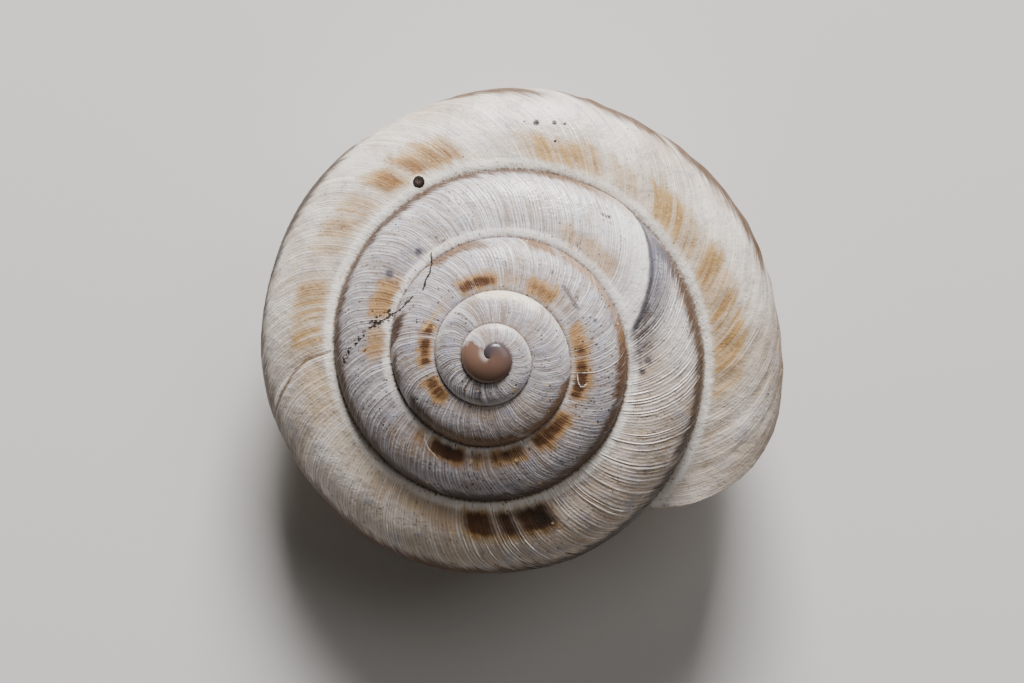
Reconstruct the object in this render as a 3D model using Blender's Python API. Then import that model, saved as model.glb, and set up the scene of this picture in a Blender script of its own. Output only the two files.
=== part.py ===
"""A land snail's shell, grown as one piece: a low, right-handed coil of nearly six whorls.

Metres, +Z up. The shell lies on its base and its lip, with the apex on top. The origin is on the
surface it lies on, under the middle of its box. Seen from above with +Y up the picture, it grows
clockwise, and its mouth opens at the lower right.
"""

import math

import bmesh
import bpy
from mathutils import Matrix, Vector

MM = 0.001

# The coil. A turn is one whole whorl, and turn 0 is the tip of the first whorl.
HALF_TURN_RADII = (0.15, 0.54, 0.89, 1.15, 1.67, 2.26, 3.08, 4.02, 4.96, 6.3, 7.52, 8.95, 9.8, 10.0)
START_ANGLE = math.radians(240)
LAST_TURN = 5.78
SPIRE_DROP = 5.2
SPIRE_RADIUS = 9.3
SPIRE_CURVE = 1.15
MOUTH_DROP = 0.35
MOUTH_DROP_FROM = 5.2

# One whorl cut through. The base is deepest below the last whorl, and the rest are shares of a radius.
BASE_DEPTH = 5.2
BASE_CURVE = 1.0
NAVEL_RADIUS = 0.13
NAVEL_LEVEL = 0.72
WALL = 0.04
LIP_WALL = 0.026
CALLUS = 0.012
SEAT_BELOW_EDGE = math.radians(9)
SEAT_SINKS_FROM = 4.3
LIP_THINS_FROM = 5.48

# Growth lines trail behind their top end, and the lip trails more than the lines before it.
TRAIL_AT_EDGE = 3
TRAIL_AT_NAVEL = 6
LIP_TRAIL_AT_EDGE = 0.045
LIP_TRAIL_AT_BASE = 0.055
LIP_TRAIL_FROM = 4.95
SWELL = 0.007
SWELLS_PER_TURN = 6.4
SWELL_FROM = 3.5

# The net of faces: rows along the growth, columns from the suture to the navel.
ROWS = 60
TOP, BASE, NAVEL = 5, 9, 3
EDGE = TOP
RIM = TOP + BASE
CORE = TOP + BASE + NAVEL
NAVEL_TURNS = 2.6
HOLLOW_TURNS = 1.35
HOLLOW_END_TURNS = 0.25
HOLLOW_END_SIZE = 0.08
HOLLOW_PAST_LIP = 4

# How the shell lies: the apex leans away from the mouth.
LEAN = math.radians(13.2)
LEAN_TOWARDS = math.radians(213.5)

SHELL_COLOUR = (0.62, 0.56, 0.48, 1.0)
SHELL_ROUGHNESS = 0.5


def clear_scene():
    for obj in list(bpy.data.objects):
        bpy.data.objects.remove(obj, do_unlink=True)


def ease(low, high, value):
    share = min(max((value - low) / (high - low), 0.0), 1.0)
    return share * share * (3 - 2 * share)


def edge_radius(turn):
    """Radius of the whorl's outer edge, on a smooth curve through the half-turn radii."""
    place = max(turn * 2, -0.99)
    first = min(max(math.floor(place), 0), len(HALF_TURN_RADII) - 2)
    after = min(first + 2, len(HALF_TURN_RADII) - 1)
    a, b, c, d = (math.log(HALF_TURN_RADII[k]) for k in (max(first - 1, 0), first, first + 1, after))
    f = place - first
    curve = b + 0.5 * f * (c - a + f * (2 * a - 5 * b + 4 * c - d + f * (3 * (b - c) + d - a)))
    return math.exp(curve)


def edge_level(turn):
    """Height of the whorl's outer edge below the apex."""
    spire = SPIRE_DROP * (edge_radius(turn) / SPIRE_RADIUS) ** SPIRE_CURVE
    return -spire - MOUTH_DROP * ease(MOUTH_DROP_FROM, LAST_TURN, turn)


def seat(turn):
    """How far below its outer edge a whorl carries the next one, as an angle on its section."""
    return SEAT_BELOW_EDGE * ease(SEAT_SINKS_FROM, LAST_TURN - 1, turn)


def below_edge(turn, angle):
    """A point of the whorl's base, by its angle on the section: 0 at the outer edge."""
    radius = edge_radius(turn)
    rim_angle = math.pi - math.asin(NAVEL_LEVEL)
    across = (1 - NAVEL_RADIUS) / (1 - math.cos(rim_angle))
    out = radius * (1 - across + across * math.cos(angle))
    depth = BASE_DEPTH * (radius / SPIRE_RADIUS) ** BASE_CURVE
    return out, edge_level(turn) - depth * math.sin(angle)


def section(turn, place):
    """Radius and height on a whorl cut through at a turn: 0 suture, 1 seat, 2 navel rim, 3 core."""
    rim_angle = math.pi - math.asin(NAVEL_LEVEL)
    if place > 2:
        rim = below_edge(turn, rim_angle)
        core = below_edge(turn - 1, rim_angle)
        share = place - 2
        out = rim[0] + (core[0] - rim[0]) * math.sin(share * math.pi / 2)
        return out, rim[1] + (core[1] - rim[1]) * share
    if place > 1:
        return below_edge(turn, seat(turn) + (rim_angle - seat(turn)) * (place - 1))
    angle = place * (math.pi / 2 + seat(turn))
    if angle > math.pi / 2:
        return below_edge(turn, angle - math.pi / 2)
    inner = below_edge(turn - 1, seat(turn - 1)) if turn > 1 else (0.0, 0.0)
    out = inner[0] + (edge_radius(turn) - inner[0]) * math.sin(angle)
    return out, edge_level(turn) + (inner[1] - edge_level(turn)) * math.cos(angle)


def outward(turn, place):
    """Direction out of the whorl's surface, in the plane of the section."""
    step = 0.01
    r0, z0 = section(turn, max(place - step, 0.0))
    r1, z1 = section(turn, min(place + step, 3.0))
    length = math.hypot(r1 - r0, z1 - z0)
    return -(z1 - z0) / length, (r1 - r0) / length


def trail(turn, place):
    """How many turns a growth line has fallen behind its top end."""
    edge = TRAIL_AT_EDGE / ROWS
    rim = TRAIL_AT_NAVEL / ROWS
    marks = (0.0, edge, rim, rim - edge)
    first = min(int(place), 2)
    lag = marks[first] + (marks[first + 1] - marks[first]) * (place - first)
    late = ease(LIP_TRAIL_FROM, LAST_TURN, turn)
    if place < 1:
        return lag + late * LIP_TRAIL_AT_EDGE * place
    bow = math.sin(math.pi * (place - 1) / 2)
    return lag + late * (LIP_TRAIL_AT_EDGE * (3 - place) / 2 + LIP_TRAIL_AT_BASE * bow)


def on_coil(turn, out, level):
    angle = START_ANGLE - 2 * math.pi * turn
    return Vector((out * math.cos(angle), out * math.sin(angle), level)) * MM


def column_place(column):
    if column <= EDGE:
        return column / TOP
    if column <= RIM:
        return 1 + (column - EDGE) / BASE
    return 2 + (column - RIM) / NAVEL


def surface_point(row, column, depth=0.0):
    """A point of the outside, or one that lies a depth inside it."""
    place = column_place(column)
    turn = row / ROWS - trail(row / ROWS, place)
    out, level = section(turn, place)
    normal = outward(turn, place)
    wave = math.sin(2 * math.pi * SWELLS_PER_TURN * row / ROWS) * math.sin(math.pi * place / 3)
    lift = SWELL * edge_radius(turn) * wave * ease(SWELL_FROM, LAST_TURN, turn) - depth
    return on_coil(turn, out + lift * normal[0], level + lift * normal[1])


def add_face(mesh, corners):
    """A face of these corners, without those that repeat."""
    kept = [c for k, c in enumerate(corners) if c is not corners[k - 1]]
    if len(set(kept)) == len(kept) > 2:
        mesh.faces.new(kept)


def solid_object(mesh, name):
    bmesh.ops.recalc_face_normals(mesh, faces=mesh.faces)
    data = bpy.data.meshes.new(name)
    mesh.to_mesh(data)
    mesh.free()
    obj = bpy.data.objects.new(name, data)
    bpy.context.scene.collection.objects.link(obj)
    return obj


def filled_shell():
    """The outside of the shell, closed across the mouth."""
    mesh = bmesh.new()
    last = round(LAST_TURN * ROWS)
    turned = ROWS - TRAIL_AT_EDGE
    mouth_floor = last - turned
    navel_start = mouth_floor - round(NAVEL_TURNS * ROWS)
    apex = mesh.verts.new((0, 0, 0))
    pit_level = surface_point(navel_start, RIM).z
    pit = mesh.verts.new((0, 0, pit_level))
    net = {}

    def corner(row, column):
        if column == 0:
            return corner(row - turned, EDGE) if row >= turned else apex
        if column == CORE:
            return corner(row - turned, RIM) if row - turned >= navel_start else pit
        if row == 0 and column < EDGE:
            return apex
        if row == navel_start and column > RIM:
            return pit
        if (row, column) not in net:
            net[row, column] = mesh.verts.new(surface_point(row, column))
        return net[row, column]

    def strip(first_row, first_column, last_column):
        for row in range(first_row, last):
            for column in range(first_column, last_column):
                add_face(mesh, [corner(row, column), corner(row, column + 1),
                                corner(row + 1, column + 1), corner(row + 1, column)])

    strip(0, 0, EDGE)
    strip(mouth_floor, EDGE, RIM)
    strip(navel_start, RIM, CORE)
    lip = [corner(last, column) for column in range(CORE + 1)]
    floor = [corner(mouth_floor, column) for column in range(EDGE, RIM + 1)]
    mesh.faces.new(lip + floor[-2:0:-1])
    bmesh.ops.triangulate(mesh, faces=[f for f in mesh.faces if len(f.verts) > 4])
    return solid_object(mesh, "shell")


def hollow():
    """The room inside the last whorls, run out past the lip and drawn to a point at its inner end."""
    mesh = bmesh.new()
    last = round(LAST_TURN * ROWS)
    first = last - round(HOLLOW_TURNS * ROWS)
    turned = ROWS - TRAIL_AT_EDGE
    rings = []
    for row in range(first, last + HOLLOW_PAST_LIP + 1):
        turn = row / ROWS
        thin = ease(LIP_THINS_FROM, LAST_TURN, turn)
        wall = edge_radius(turn) * (WALL + (LIP_WALL - WALL) * thin)
        callus = edge_radius(turn) * CALLUS
        ring = [surface_point(row, column, wall) for column in range(1, CORE)]
        ring += [surface_point(row - turned, column, -callus) for column in range(RIM - 1, EDGE, -1)]
        centre = sum(ring, Vector()) / len(ring)
        opening = min((row - first) / ROWS / HOLLOW_END_TURNS, 1.0)
        open_share = max(math.sin(opening * math.pi / 2), HOLLOW_END_SIZE)
        rings.append([mesh.verts.new(centre + (point - centre) * open_share) for point in ring])
    count = len(rings[0])
    for ring, following in zip(rings, rings[1:]):
        for k in range(count):
            mesh.faces.new([ring[k - 1], ring[k], following[k], following[k - 1]])
    for ring in (rings[0], rings[-1]):
        mesh.faces.new(ring)
    bmesh.ops.triangulate(mesh, faces=[f for f in mesh.faces if len(f.verts) > 4])
    return solid_object(mesh, "hollow")


def shell_material():
    material = bpy.data.materials.new("weathered_shell")
    material.use_nodes = True
    surface = material.node_tree.nodes["Principled BSDF"]
    surface.inputs["Base Color"].default_value = SHELL_COLOUR
    surface.inputs["Roughness"].default_value = SHELL_ROUGHNESS
    surface.inputs["Metallic"].default_value = 0.0
    return material


def open_mouth(shell, room):
    cut = shell.modifiers.new("mouth", "BOOLEAN")
    cut.operation = "DIFFERENCE"
    cut.solver = "EXACT"
    cut.object = room
    room.hide_render = True
    room.display_type = "WIRE"


def lay_down(shell, room):
    """Leans the shell as it lies and puts it on the surface, over the origin."""
    axis = Vector((-math.sin(LEAN_TOWARDS), math.cos(LEAN_TOWARDS), 0))
    turn = Matrix.Rotation(LEAN, 4, axis)
    places = [turn @ vertex.co for vertex in shell.data.vertices]
    low = [min(place[k] for place in places) for k in range(3)]
    high = [max(place[k] for place in places) for k in range(3)]
    move = Matrix.Translation((-(low[0] + high[0]) / 2, -(low[1] + high[1]) / 2, -low[2]))
    for obj in (shell, room):
        obj.matrix_world = move @ turn


def main():
    clear_scene()
    shell = filled_shell()
    room = hollow()
    lay_down(shell, room)
    open_mouth(shell, room)
    shell.data.materials.append(shell_material())
    shell.data.shade_smooth()


main()
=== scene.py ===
import bisect
import math
import random

import bpy
import numpy as np
from mathutils import Matrix, Vector


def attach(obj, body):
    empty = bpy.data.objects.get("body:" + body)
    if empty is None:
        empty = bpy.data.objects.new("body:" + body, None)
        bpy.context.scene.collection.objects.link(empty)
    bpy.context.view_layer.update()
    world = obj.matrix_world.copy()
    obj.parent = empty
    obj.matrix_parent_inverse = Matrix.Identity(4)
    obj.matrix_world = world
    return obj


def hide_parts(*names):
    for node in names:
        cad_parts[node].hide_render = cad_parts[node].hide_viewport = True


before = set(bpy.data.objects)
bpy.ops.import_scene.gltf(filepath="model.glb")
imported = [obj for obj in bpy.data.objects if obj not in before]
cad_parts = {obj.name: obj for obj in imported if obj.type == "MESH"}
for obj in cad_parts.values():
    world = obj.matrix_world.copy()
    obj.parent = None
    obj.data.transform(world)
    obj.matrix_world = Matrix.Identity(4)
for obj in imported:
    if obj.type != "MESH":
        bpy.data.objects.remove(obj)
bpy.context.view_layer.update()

# The shell: a land snail's, grown as one piece of lime over nearly six whorls, right-handed and low.
# It is weathered and empty. Fine growth ribs cross each whorl, a broken dark band follows its edge,
# and brown flecks lie below the suture, where the next whorl meets the one before.
MM = 0.001
LAST_TURN = 5.78
HALF_TURN_RADII = np.array((0.15, 0.54, 0.89, 1.15, 1.67, 2.26, 3.08,
                            4.02, 4.96, 6.3, 7.52, 8.95, 9.8, 10.0))
TIP_NARROWS_FROM = 0.35
TIP_NARROWEST = 0.15


def ease(low, high, value):
    """Smooth step from 0 to 1 as the value goes from low to high."""
    share = np.clip((value - low) / (high - low), 0.0, 1.0)
    return share * share * (3 - 2 * share)


def edge_radius(turn):
    """Radius of the whorl's outer edge in mm, on a smooth curve through the half-turn radii."""
    place = np.maximum(np.asarray(turn, float) * 2, -0.99)
    first = np.clip(np.floor(place).astype(int), 0, len(HALF_TURN_RADII) - 2)
    logs = np.log(HALF_TURN_RADII)
    a, b = logs[np.maximum(first - 1, 0)], logs[first]
    c, d = logs[first + 1], logs[np.minimum(first + 2, len(logs) - 1)]
    f = place - first
    full = np.exp(b + 0.5 * f * (c - a + f * (2 * a - 5 * b + 4 * c - d + f * (3 * (b - c) + d - a))))
    grown = ease(0.0, TIP_NARROWS_FROM, np.asarray(turn, float))
    return full * (TIP_NARROWEST + (1 - TIP_NARROWEST) * grown)


SPIRE_DROP = 5.2
SPIRE_RADIUS = 9.3
SPIRE_CURVE = 1.15
MOUTH_DROP = 0.35
MOUTH_DROP_FROM = 5.2


def edge_level(turn):
    """Height of the edge in mm, which is below the apex."""
    spire = SPIRE_DROP * (edge_radius(turn) / SPIRE_RADIUS) ** SPIRE_CURVE
    return -spire - MOUTH_DROP * ease(MOUTH_DROP_FROM, LAST_TURN, turn)


SEAT_BELOW_EDGE = math.radians(9)
SEAT_SINKS_FROM = 4.3


def seat(turn):
    """How far below the edge the next whorl sits, as an angle on the whorl cut through."""
    return SEAT_BELOW_EDGE * ease(SEAT_SINKS_FROM, LAST_TURN - 1, turn)


BASE_DEPTH = 5.2
NAVEL_RADIUS = 0.13
NAVEL_LEVEL = 0.72
RIM_ANGLE = math.pi - math.asin(NAVEL_LEVEL)
BASE_WIDTH = (1 - NAVEL_RADIUS) / (1 - math.cos(RIM_ANGLE))


def below_edge(turn, angle):
    """Radius and height on the rounded base, at an angle down from the edge."""
    radius = edge_radius(turn)
    out = radius * (1 - BASE_WIDTH + BASE_WIDTH * np.cos(angle))
    return out, edge_level(turn) - BASE_DEPTH * radius / SPIRE_RADIUS * np.sin(angle)


def section(turn, place):
    """Radius and height on a whorl cut through: place 0 suture, 1 edge, 2 navel rim, 3 core."""
    turn, place = np.broadcast_arrays(np.asarray(turn, float), np.asarray(place, float))
    angle = np.clip(place, 0, 1) * (math.pi / 2 + seat(turn))
    inner_out, inner_level = below_edge(turn - 1, seat(turn - 1))
    grown = ease(0.999, 1.001, turn)
    inner_out, inner_level = inner_out * grown, inner_level * grown
    top_out = inner_out + (edge_radius(turn) - inner_out) * np.sin(angle)
    top_level = edge_level(turn) + (inner_level - edge_level(turn)) * np.cos(angle)
    to_rim = seat(turn) + (RIM_ANGLE - seat(turn)) * (np.clip(place, 1, 2) - 1)
    base_out, base_level = below_edge(turn, np.where(place > 1, to_rim, angle - math.pi / 2))
    rim_out, rim_level = below_edge(turn, RIM_ANGLE)
    core_out, core_level = below_edge(turn - 1, RIM_ANGLE)
    share = np.clip(place - 2, 0, 1)
    navel_out = rim_out + (core_out - rim_out) * np.sin(share * math.pi / 2)
    navel_level = rim_level + (core_level - rim_level) * share
    on_base = (place > 1) | (angle > math.pi / 2)
    out = np.where(place > 2, navel_out, np.where(on_base, base_out, top_out))
    level = np.where(place > 2, navel_level, np.where(on_base, base_level, top_level))
    return out, level


PLACE_STEP = 0.01


def outward(turn, place):
    """The surface's outward direction on a whorl cut through, as its parts out and up."""
    r0, z0 = section(turn, np.maximum(place - PLACE_STEP, 0.0))
    r1, z1 = section(turn, np.minimum(place + PLACE_STEP, 3.0))
    length = np.maximum(np.hypot(r1 - r0, z1 - z0), 1e-9)
    return -(z1 - z0) / length, (r1 - r0) / length


TRAIL_AT_EDGE = 0.05
TRAIL_AT_NAVEL = 0.1
TRAIL_BOW = 1.4
SCAR_TURN = 4.649
SCAR_TRAIL = 0.045
WAVER_MM = 0.014
LIP_TRAIL_AT_EDGE = 0.055
LIP_TRAIL_AT_BASE = 0.055
LIP_TRAIL_FROM = 4.95


def trail(turn, place):
    """How many turns a growth line has fallen behind its top end."""
    lag = np.interp(place, (1, 2, 3), (TRAIL_AT_EDGE, TRAIL_AT_NAVEL, TRAIL_AT_NAVEL - TRAIL_AT_EDGE))
    top = np.clip(place, 0, 1)
    bent = SCAR_TRAIL * ease(SCAR_TURN - 0.25, SCAR_TURN - 0.04, turn)
    bent = bent * (1 - ease(SCAR_TURN, SCAR_TURN + 0.2, turn))
    waver = np.sin(9 * top + 31 * turn) + np.sin(17 * top - 53 * turn + 1)
    waver = waver * WAVER_MM / (2 * math.pi * edge_radius(turn)) * ease(1.3, 2.0, turn)
    shift = (bent * top + waver * ease(0, 0.3, top)) * (1 - top ** 6)
    lag = np.where(place < 1, TRAIL_AT_EDGE * top ** TRAIL_BOW + shift, lag)
    bow = LIP_TRAIL_AT_EDGE * (3 - place) / 2 + LIP_TRAIL_AT_BASE * np.sin(math.pi * (place - 1) / 2)
    lip = np.where(place < 1, LIP_TRAIL_AT_EDGE * place, bow)
    return lag + ease(LIP_TRAIL_FROM, LAST_TURN, turn) * lip


START_ANGLE = math.radians(240)
SWELL = 0.007
SWELLS_PER_TURN = 6.4
SWELL_FROM = 3.5


def surface(growth, place, lift=0.0):
    """Points in mm of growth line and place, lifted out of the surface by so many mm."""
    growth, place = np.asarray(growth, float), np.asarray(place, float)
    turn = growth - trail(growth, place)
    out, level = section(turn, place)
    out_part, up_part = outward(turn, place)
    wave = np.sin(2 * math.pi * SWELLS_PER_TURN * growth) * np.sin(math.pi * place / 3)
    lift = lift + SWELL * edge_radius(turn) * wave * ease(SWELL_FROM, LAST_TURN, turn)
    angle = START_ANGLE - 2 * math.pi * turn
    out = out + lift * out_part
    return np.stack([out * np.cos(angle), out * np.sin(angle), level + lift * up_part], axis=-1)


LIP_TURN = 5.795
OLDER_WHORL = 1 - TRAIL_AT_EDGE
YOUNG_RIB_PITCH = 0.085
RIB_PITCH = 0.135
RIB_SHAPE = (0.0, 1.0, 0.55)
RIB_HEIGHT = 0.015
FEWEST_RIBS_A_TURN = 24
TIP_END = 1.31
chance = random.Random(11)


def growth_rows():
    """Growth turns of the rows of points, one rib after another, and each row's height on its rib."""
    turns, heights = [0.0], [0.0]
    while turns[-1] < LIP_TURN:
        start = turns[-1]
        radius = float(edge_radius(start))
        pitch = YOUNG_RIB_PITCH + (RIB_PITCH - YOUNG_RIB_PITCH) * float(ease(1.5, 6.5, radius))
        share = pitch * chance.uniform(0.6, 1.45) / (2 * math.pi * radius)
        share = min(share, 1 / FEWEST_RIBS_A_TURN)
        height = chance.uniform(0.25, 1.0)
        for k in range(len(RIB_SHAPE)):
            turns.append(start + share * (k + 1) / len(RIB_SHAPE))
            heights.append(height * RIB_SHAPE[(k + 1) % len(RIB_SHAPE)])
    turns, heights = np.array(turns), np.array(heights)
    floor = int(np.argmin(abs(turns - (LIP_TURN - OLDER_WHORL))))
    last = min(int(np.searchsorted(turns, turns[floor] + OLDER_WHORL)), len(turns) - 1)
    turns[last] = turns[floor] + OLDER_WHORL
    return turns[:last + 1], heights[:last + 1], floor


row_turns, row_heights, mouth_floor = growth_rows()
last_row = len(row_turns) - 1


def rib_height(growth):
    return np.interp(growth, row_turns, row_heights)


SCAR_REACH = 0.106
SCAR_STEP = 0.06
SCAR_WIDTH = 0.012
DENT_HEIGHT = 0.010
FOLD_HEIGHT = 0.026
CORD_HEIGHT = 0.05
CORD_PLACE = 0.055
CORD_WIDTH = 0.04
GROWTH_RESTS = (  # growth turn, depth in mm, width in turns
    (5.17, 0.03, 0.004), (5.545, 0.02, 0.006), (5.60, 0.03, 0.008), (5.632, 0.03, 0.007),
    (5.668, 0.035, 0.008), (5.70, 0.03, 0.006), (5.735, 0.035, 0.007), (5.765, 0.02, 0.004))


def past_scar(turn, place):
    """Turns past the healed break, which curves back from the suture to the edge."""
    share = place / 0.9
    return turn - SCAR_TURN + SCAR_REACH * share * (1.3 - 0.3 * share)


RIPPLES = [(chance.uniform(0.5, 1.0), chance.uniform(-0.6, 0.6), chance.uniform(0, 6.3))
           for _ in range(9)]


def ripple(x, y):
    """Smooth random dents between about -1 and 1, about one unit long and two wide."""
    return sum(np.sin(6.3 * (fx * x + fy * y) + phase) for fx, fy, phase in RIPPLES) / 3


def relief(growth, place):
    """Height in mm of ribs, the cord at the suture, the healed break, dents and rests in growth."""
    turn = growth - trail(growth, place)
    radius = edge_radius(turn)
    length, across = math.pi * radius * turn, place * radius * 0.35
    dents = DENT_HEIGHT * ripple(length * 0.35, across * 0.5) * ease(3.6, 4.6, turn)
    folds = FOLD_HEIGHT * ripple(length * 0.95 + 5, across * 0.40 + 2)
    folds = folds * ease(5.48, 5.62, growth) * ease(0.05, 0.25, place)
    size = radius / SPIRE_RADIUS
    ribbed = ease(TIP_END, TIP_END + 0.08, growth) * ease(0.0, 0.06, place)
    ribbed = ribbed * (1 - 0.55 * ease(1.0, 1.4, place))
    past = past_scar(turn, place)
    rough = 1 + 0.9 * ease(0.0, 0.02, past) * (1 - ease(0.3, 0.5, past)) - 0.45 * ease(4.9, 5.4, turn)
    young = 0.55 + 0.45 * ease(0.1, 0.45, size)
    broken = 1 + 0.4 * ripple(length * 1.9, across * 2.6) * ease(4.0, 4.6, turn)
    height = RIB_HEIGHT * ribbed * rough * young * broken * rib_height(growth)
    cord = np.exp(-((place - CORD_PLACE) / CORD_WIDTH) ** 2) * ease(2.0, 3.5, turn)
    height = height + CORD_HEIGHT * size * cord
    on_top = ease(0.0, 0.15, place) * (1 - ease(1.0, 1.3, place))
    drop = ease(-0.006, 0.006, past) * np.exp(-np.maximum(past, 0) / 0.03)
    swell = np.exp(-((past + SCAR_WIDTH) / SCAR_WIDTH) ** 2)
    height = height + SCAR_STEP * (0.4 * swell - drop) * on_top
    for rest, depth, width in GROWTH_RESTS:
        height = height - depth * np.exp(-((growth - rest) / width) ** 2) * ease(0.03, 0.2, place)
    height = height + (dents + folds) * ease(0.0, 0.1, place) * (1 - ease(1.6, 1.9, place))
    return height


TOP_PLACES = (0, 0.025, 0.05, 0.08, 0.115, 0.16, 0.215, 0.28, 0.36, 0.45, 0.54, 0.63, 0.72, 0.81,
              0.9, 1)
BASE_PLACES = 15
NAVEL_PLACES = 4
EDGE = len(TOP_PLACES) - 1
RIM = EDGE + BASE_PLACES
CORE = RIM + NAVEL_PLACES
NAVEL_TURNS = 2.4
column_places = np.concatenate([TOP_PLACES, 1 + np.arange(1, BASE_PLACES + 1) / BASE_PLACES,
                                2 + np.arange(1, NAVEL_PLACES + 1) / NAVEL_PLACES])
navel_row = int(np.searchsorted(row_turns, row_turns[mouth_floor] - NAVEL_TURNS))

point_growth, point_place = [], []
faces, face_kind, face_base = [], [], []
corner_growth, corner_place, strip_order = [], [], []
OUTSIDE, INSIDE = 0, 1


def new_point(growth, place):
    point_growth.append(growth)
    point_place.append(place)
    return len(point_growth) - 1


apex = new_point(0.0, 0.0)
pit = new_point(row_turns[navel_row], 3.0)
net = {}


def own_point(row, column):
    if (row, column) not in net:
        net[row, column] = new_point(row_turns[row], column_places[column])
    return net[row, column]


JOIN_SHARE = 0.3


class Seam:
    """The line on which each whorl sits on the one before, with the points of both whorls."""

    def __init__(self, first_row, column, centre):
        self.keys = [row_turns[row] for row in range(first_row, last_row + 1)]
        self.points = [own_point(row, column) for row in range(first_row, last_row + 1)]
        self.place, self.joins = column_places[column], {}
        own_keys = list(self.keys)
        for row in range(first_row, last_row + 1):
            key = row_turns[row] - OLDER_WHORL
            if key < own_keys[0]:
                self.joins[row] = (-1.0, centre)
                continue
            after = bisect.bisect(own_keys, key)
            near = min(range(max(after - 1, 0), after + 1), key=lambda k: abs(own_keys[k] - key))
            if abs(own_keys[near] - key) < JOIN_SHARE * (own_keys[near + 1] - own_keys[near]):
                self.joins[row] = (own_keys[near], net[first_row + near, column])
                continue
            spot = bisect.bisect(self.keys, key)
            self.keys.insert(spot, key)
            self.points.insert(spot, new_point(key, self.place))
            self.joins[row] = (key, self.points[spot])

    def between(self, low, high):
        """Points of the line strictly between two keys, with their keys."""
        first = bisect.bisect_right(self.keys, low + 1e-9)
        last = bisect.bisect_left(self.keys, high - 1e-9)
        return list(zip(self.points[first:last], self.keys[first:last]))


suture = Seam(0, EDGE, apex)
core_line = Seam(navel_row, RIM, pit)


def corner(row, column):
    """A point of the net, with the growth turn and place it has in this strip."""
    growth, place = row_turns[row], column_places[column]
    if column == 0:
        return suture.joins[row][1], growth, place
    if column == CORE:
        return core_line.joins[row][1], growth, place
    if row == 0 and column < EDGE:
        return apex, growth, place
    if row == navel_row and column > RIM:
        return pit, growth, place
    return own_point(row, column), growth, place


def add_face(corners, kind=OUTSIDE, order=None):
    """Adds a face through its corners, without those that meet; order is its place on a strip."""
    kept = [c for k, c in enumerate(corners) if c[0] != corners[k - 1][0]]
    if len({c[0] for c in kept}) == len(kept) > 2:
        faces.append([c[0] for c in kept])
        corner_growth.extend(c[1] for c in kept)
        corner_place.extend(c[2] for c in kept)
        face_kind.append(kind)
        face_base.append(min(c[2] for c in kept) >= 1)
        if order is not None:
            strip_order.append([order[k] for k, c in enumerate(corners) if c[0] != corners[k - 1][0]])


def add_strip(first_row, first_column, last_column):
    """Fills the net between two columns, with the seams' own points where whorls meet."""
    for row in range(first_row, last_row):
        for column in range(first_column, last_column):
            low, high = [corner(row, column)], [corner(row, column + 1)]
            if column == 0 or column + 1 == CORE:
                line = suture if column == 0 else core_line
                extra = [(p, key + OLDER_WHORL, column_places[0 if column == 0 else CORE])
                         for p, key in line.between(line.joins[row][0], line.joins[row + 1][0])]
                (low if column == 0 else high).extend(extra)
            if column + 1 == EDGE or column == RIM:
                line = suture if column + 1 == EDGE else core_line
                between = line.between(row_turns[row], row_turns[row + 1])
                extra = [(p, key, line.place) for p, key in between]
                (high if column + 1 == EDGE else low).extend(extra)
            low.append(corner(row + 1, column))
            high.append(corner(row + 1, column + 1))
            add_face(low + high[::-1])


add_strip(0, 0, EDGE)
add_strip(mouth_floor, EDGE, RIM)
add_strip(navel_row, RIM, CORE)

points = surface(point_growth, point_place, relief(np.array(point_growth), np.array(point_place)))
points[apex] = (0, 0, 0)
points[pit][:2] = 0

# The room inside: the same walls seen from within, smooth, from the lip back past a whole turn.
# Its floor is the whorl before, under a thin callus, and a rounded lip joins it to the outside.
HOLLOW_TURNS = 1.35
HOLLOW_END_TURNS = 0.25
HOLLOW_END_SIZE = 0.08
HOLLOW_ROWS = 150
CORNER_BELOW_SEAM = 0.06
WALL = 0.04
LIP_WALL = 0.026
LIP_THINS_FROM = 5.48
CALLUS = 0.012
LIP_ROUND = 0.07
LIP_STEP = 0.001


def room_ring(growth):
    """Points around the room at one growth line: under the wall, then over the whorl before."""
    thin = ease(LIP_THINS_FROM, LAST_TURN, growth)
    wall = edge_radius(growth) * (WALL + (LIP_WALL - WALL) * thin)
    callus = edge_radius(growth) * CALLUS
    outer = column_places[1:CORE]
    inner = column_places[EDGE + 1:RIM][::-1]
    corners = np.array((1 + CORNER_BELOW_SEAM, 2 - CORNER_BELOW_SEAM))
    seam = surface(np.full(2, growth - OLDER_WHORL), corners, callus)
    return np.concatenate([seam[:1], surface(np.full(len(outer), growth), outer, -wall), seam[1:],
                           surface(np.full(len(inner), growth - OLDER_WHORL), inner, callus)])


ring_places = np.concatenate([column_places[:CORE + 1], column_places[EDGE + 1:RIM][::-1]])
room_growth = np.linspace(LAST_TURN - HOLLOW_TURNS, row_turns[last_row], HOLLOW_ROWS)
rings = []
for growth in room_growth:
    ring = room_ring(growth)
    opening = min((growth - room_growth[0]) / HOLLOW_END_TURNS, 1.0)
    size = max(math.sin(opening * math.pi / 2), HOLLOW_END_SIZE)
    rings.append(ring.mean(axis=0) + (ring - ring.mean(axis=0)) * size)
ring_size = len(ring_places)
mouth = [corner(last_row, column)[0] for column in range(CORE + 1)]
mouth += [own_point(mouth_floor, column) for column in range(RIM - 1, EDGE, -1)]
ahead = room_ring(row_turns[last_row] + LIP_STEP) - room_ring(row_turns[last_row])
ahead /= np.maximum(np.linalg.norm(ahead, axis=1), 1e-9)[:, None]
round_lip = (points[mouth] + rings[-1]) / 2
round_lip[:CORE + 1] += ahead[:CORE + 1] * LIP_ROUND
first_ring = len(points)
points = np.concatenate([points] + rings + [round_lip])


def ring_corner(ring, k):
    """A point of the room or the lip, with its growth turn and place."""
    growth = room_growth[min(ring, HOLLOW_ROWS - 1)]
    return first_ring + ring * ring_size + k % ring_size, growth, ring_places[k % ring_size]


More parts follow.
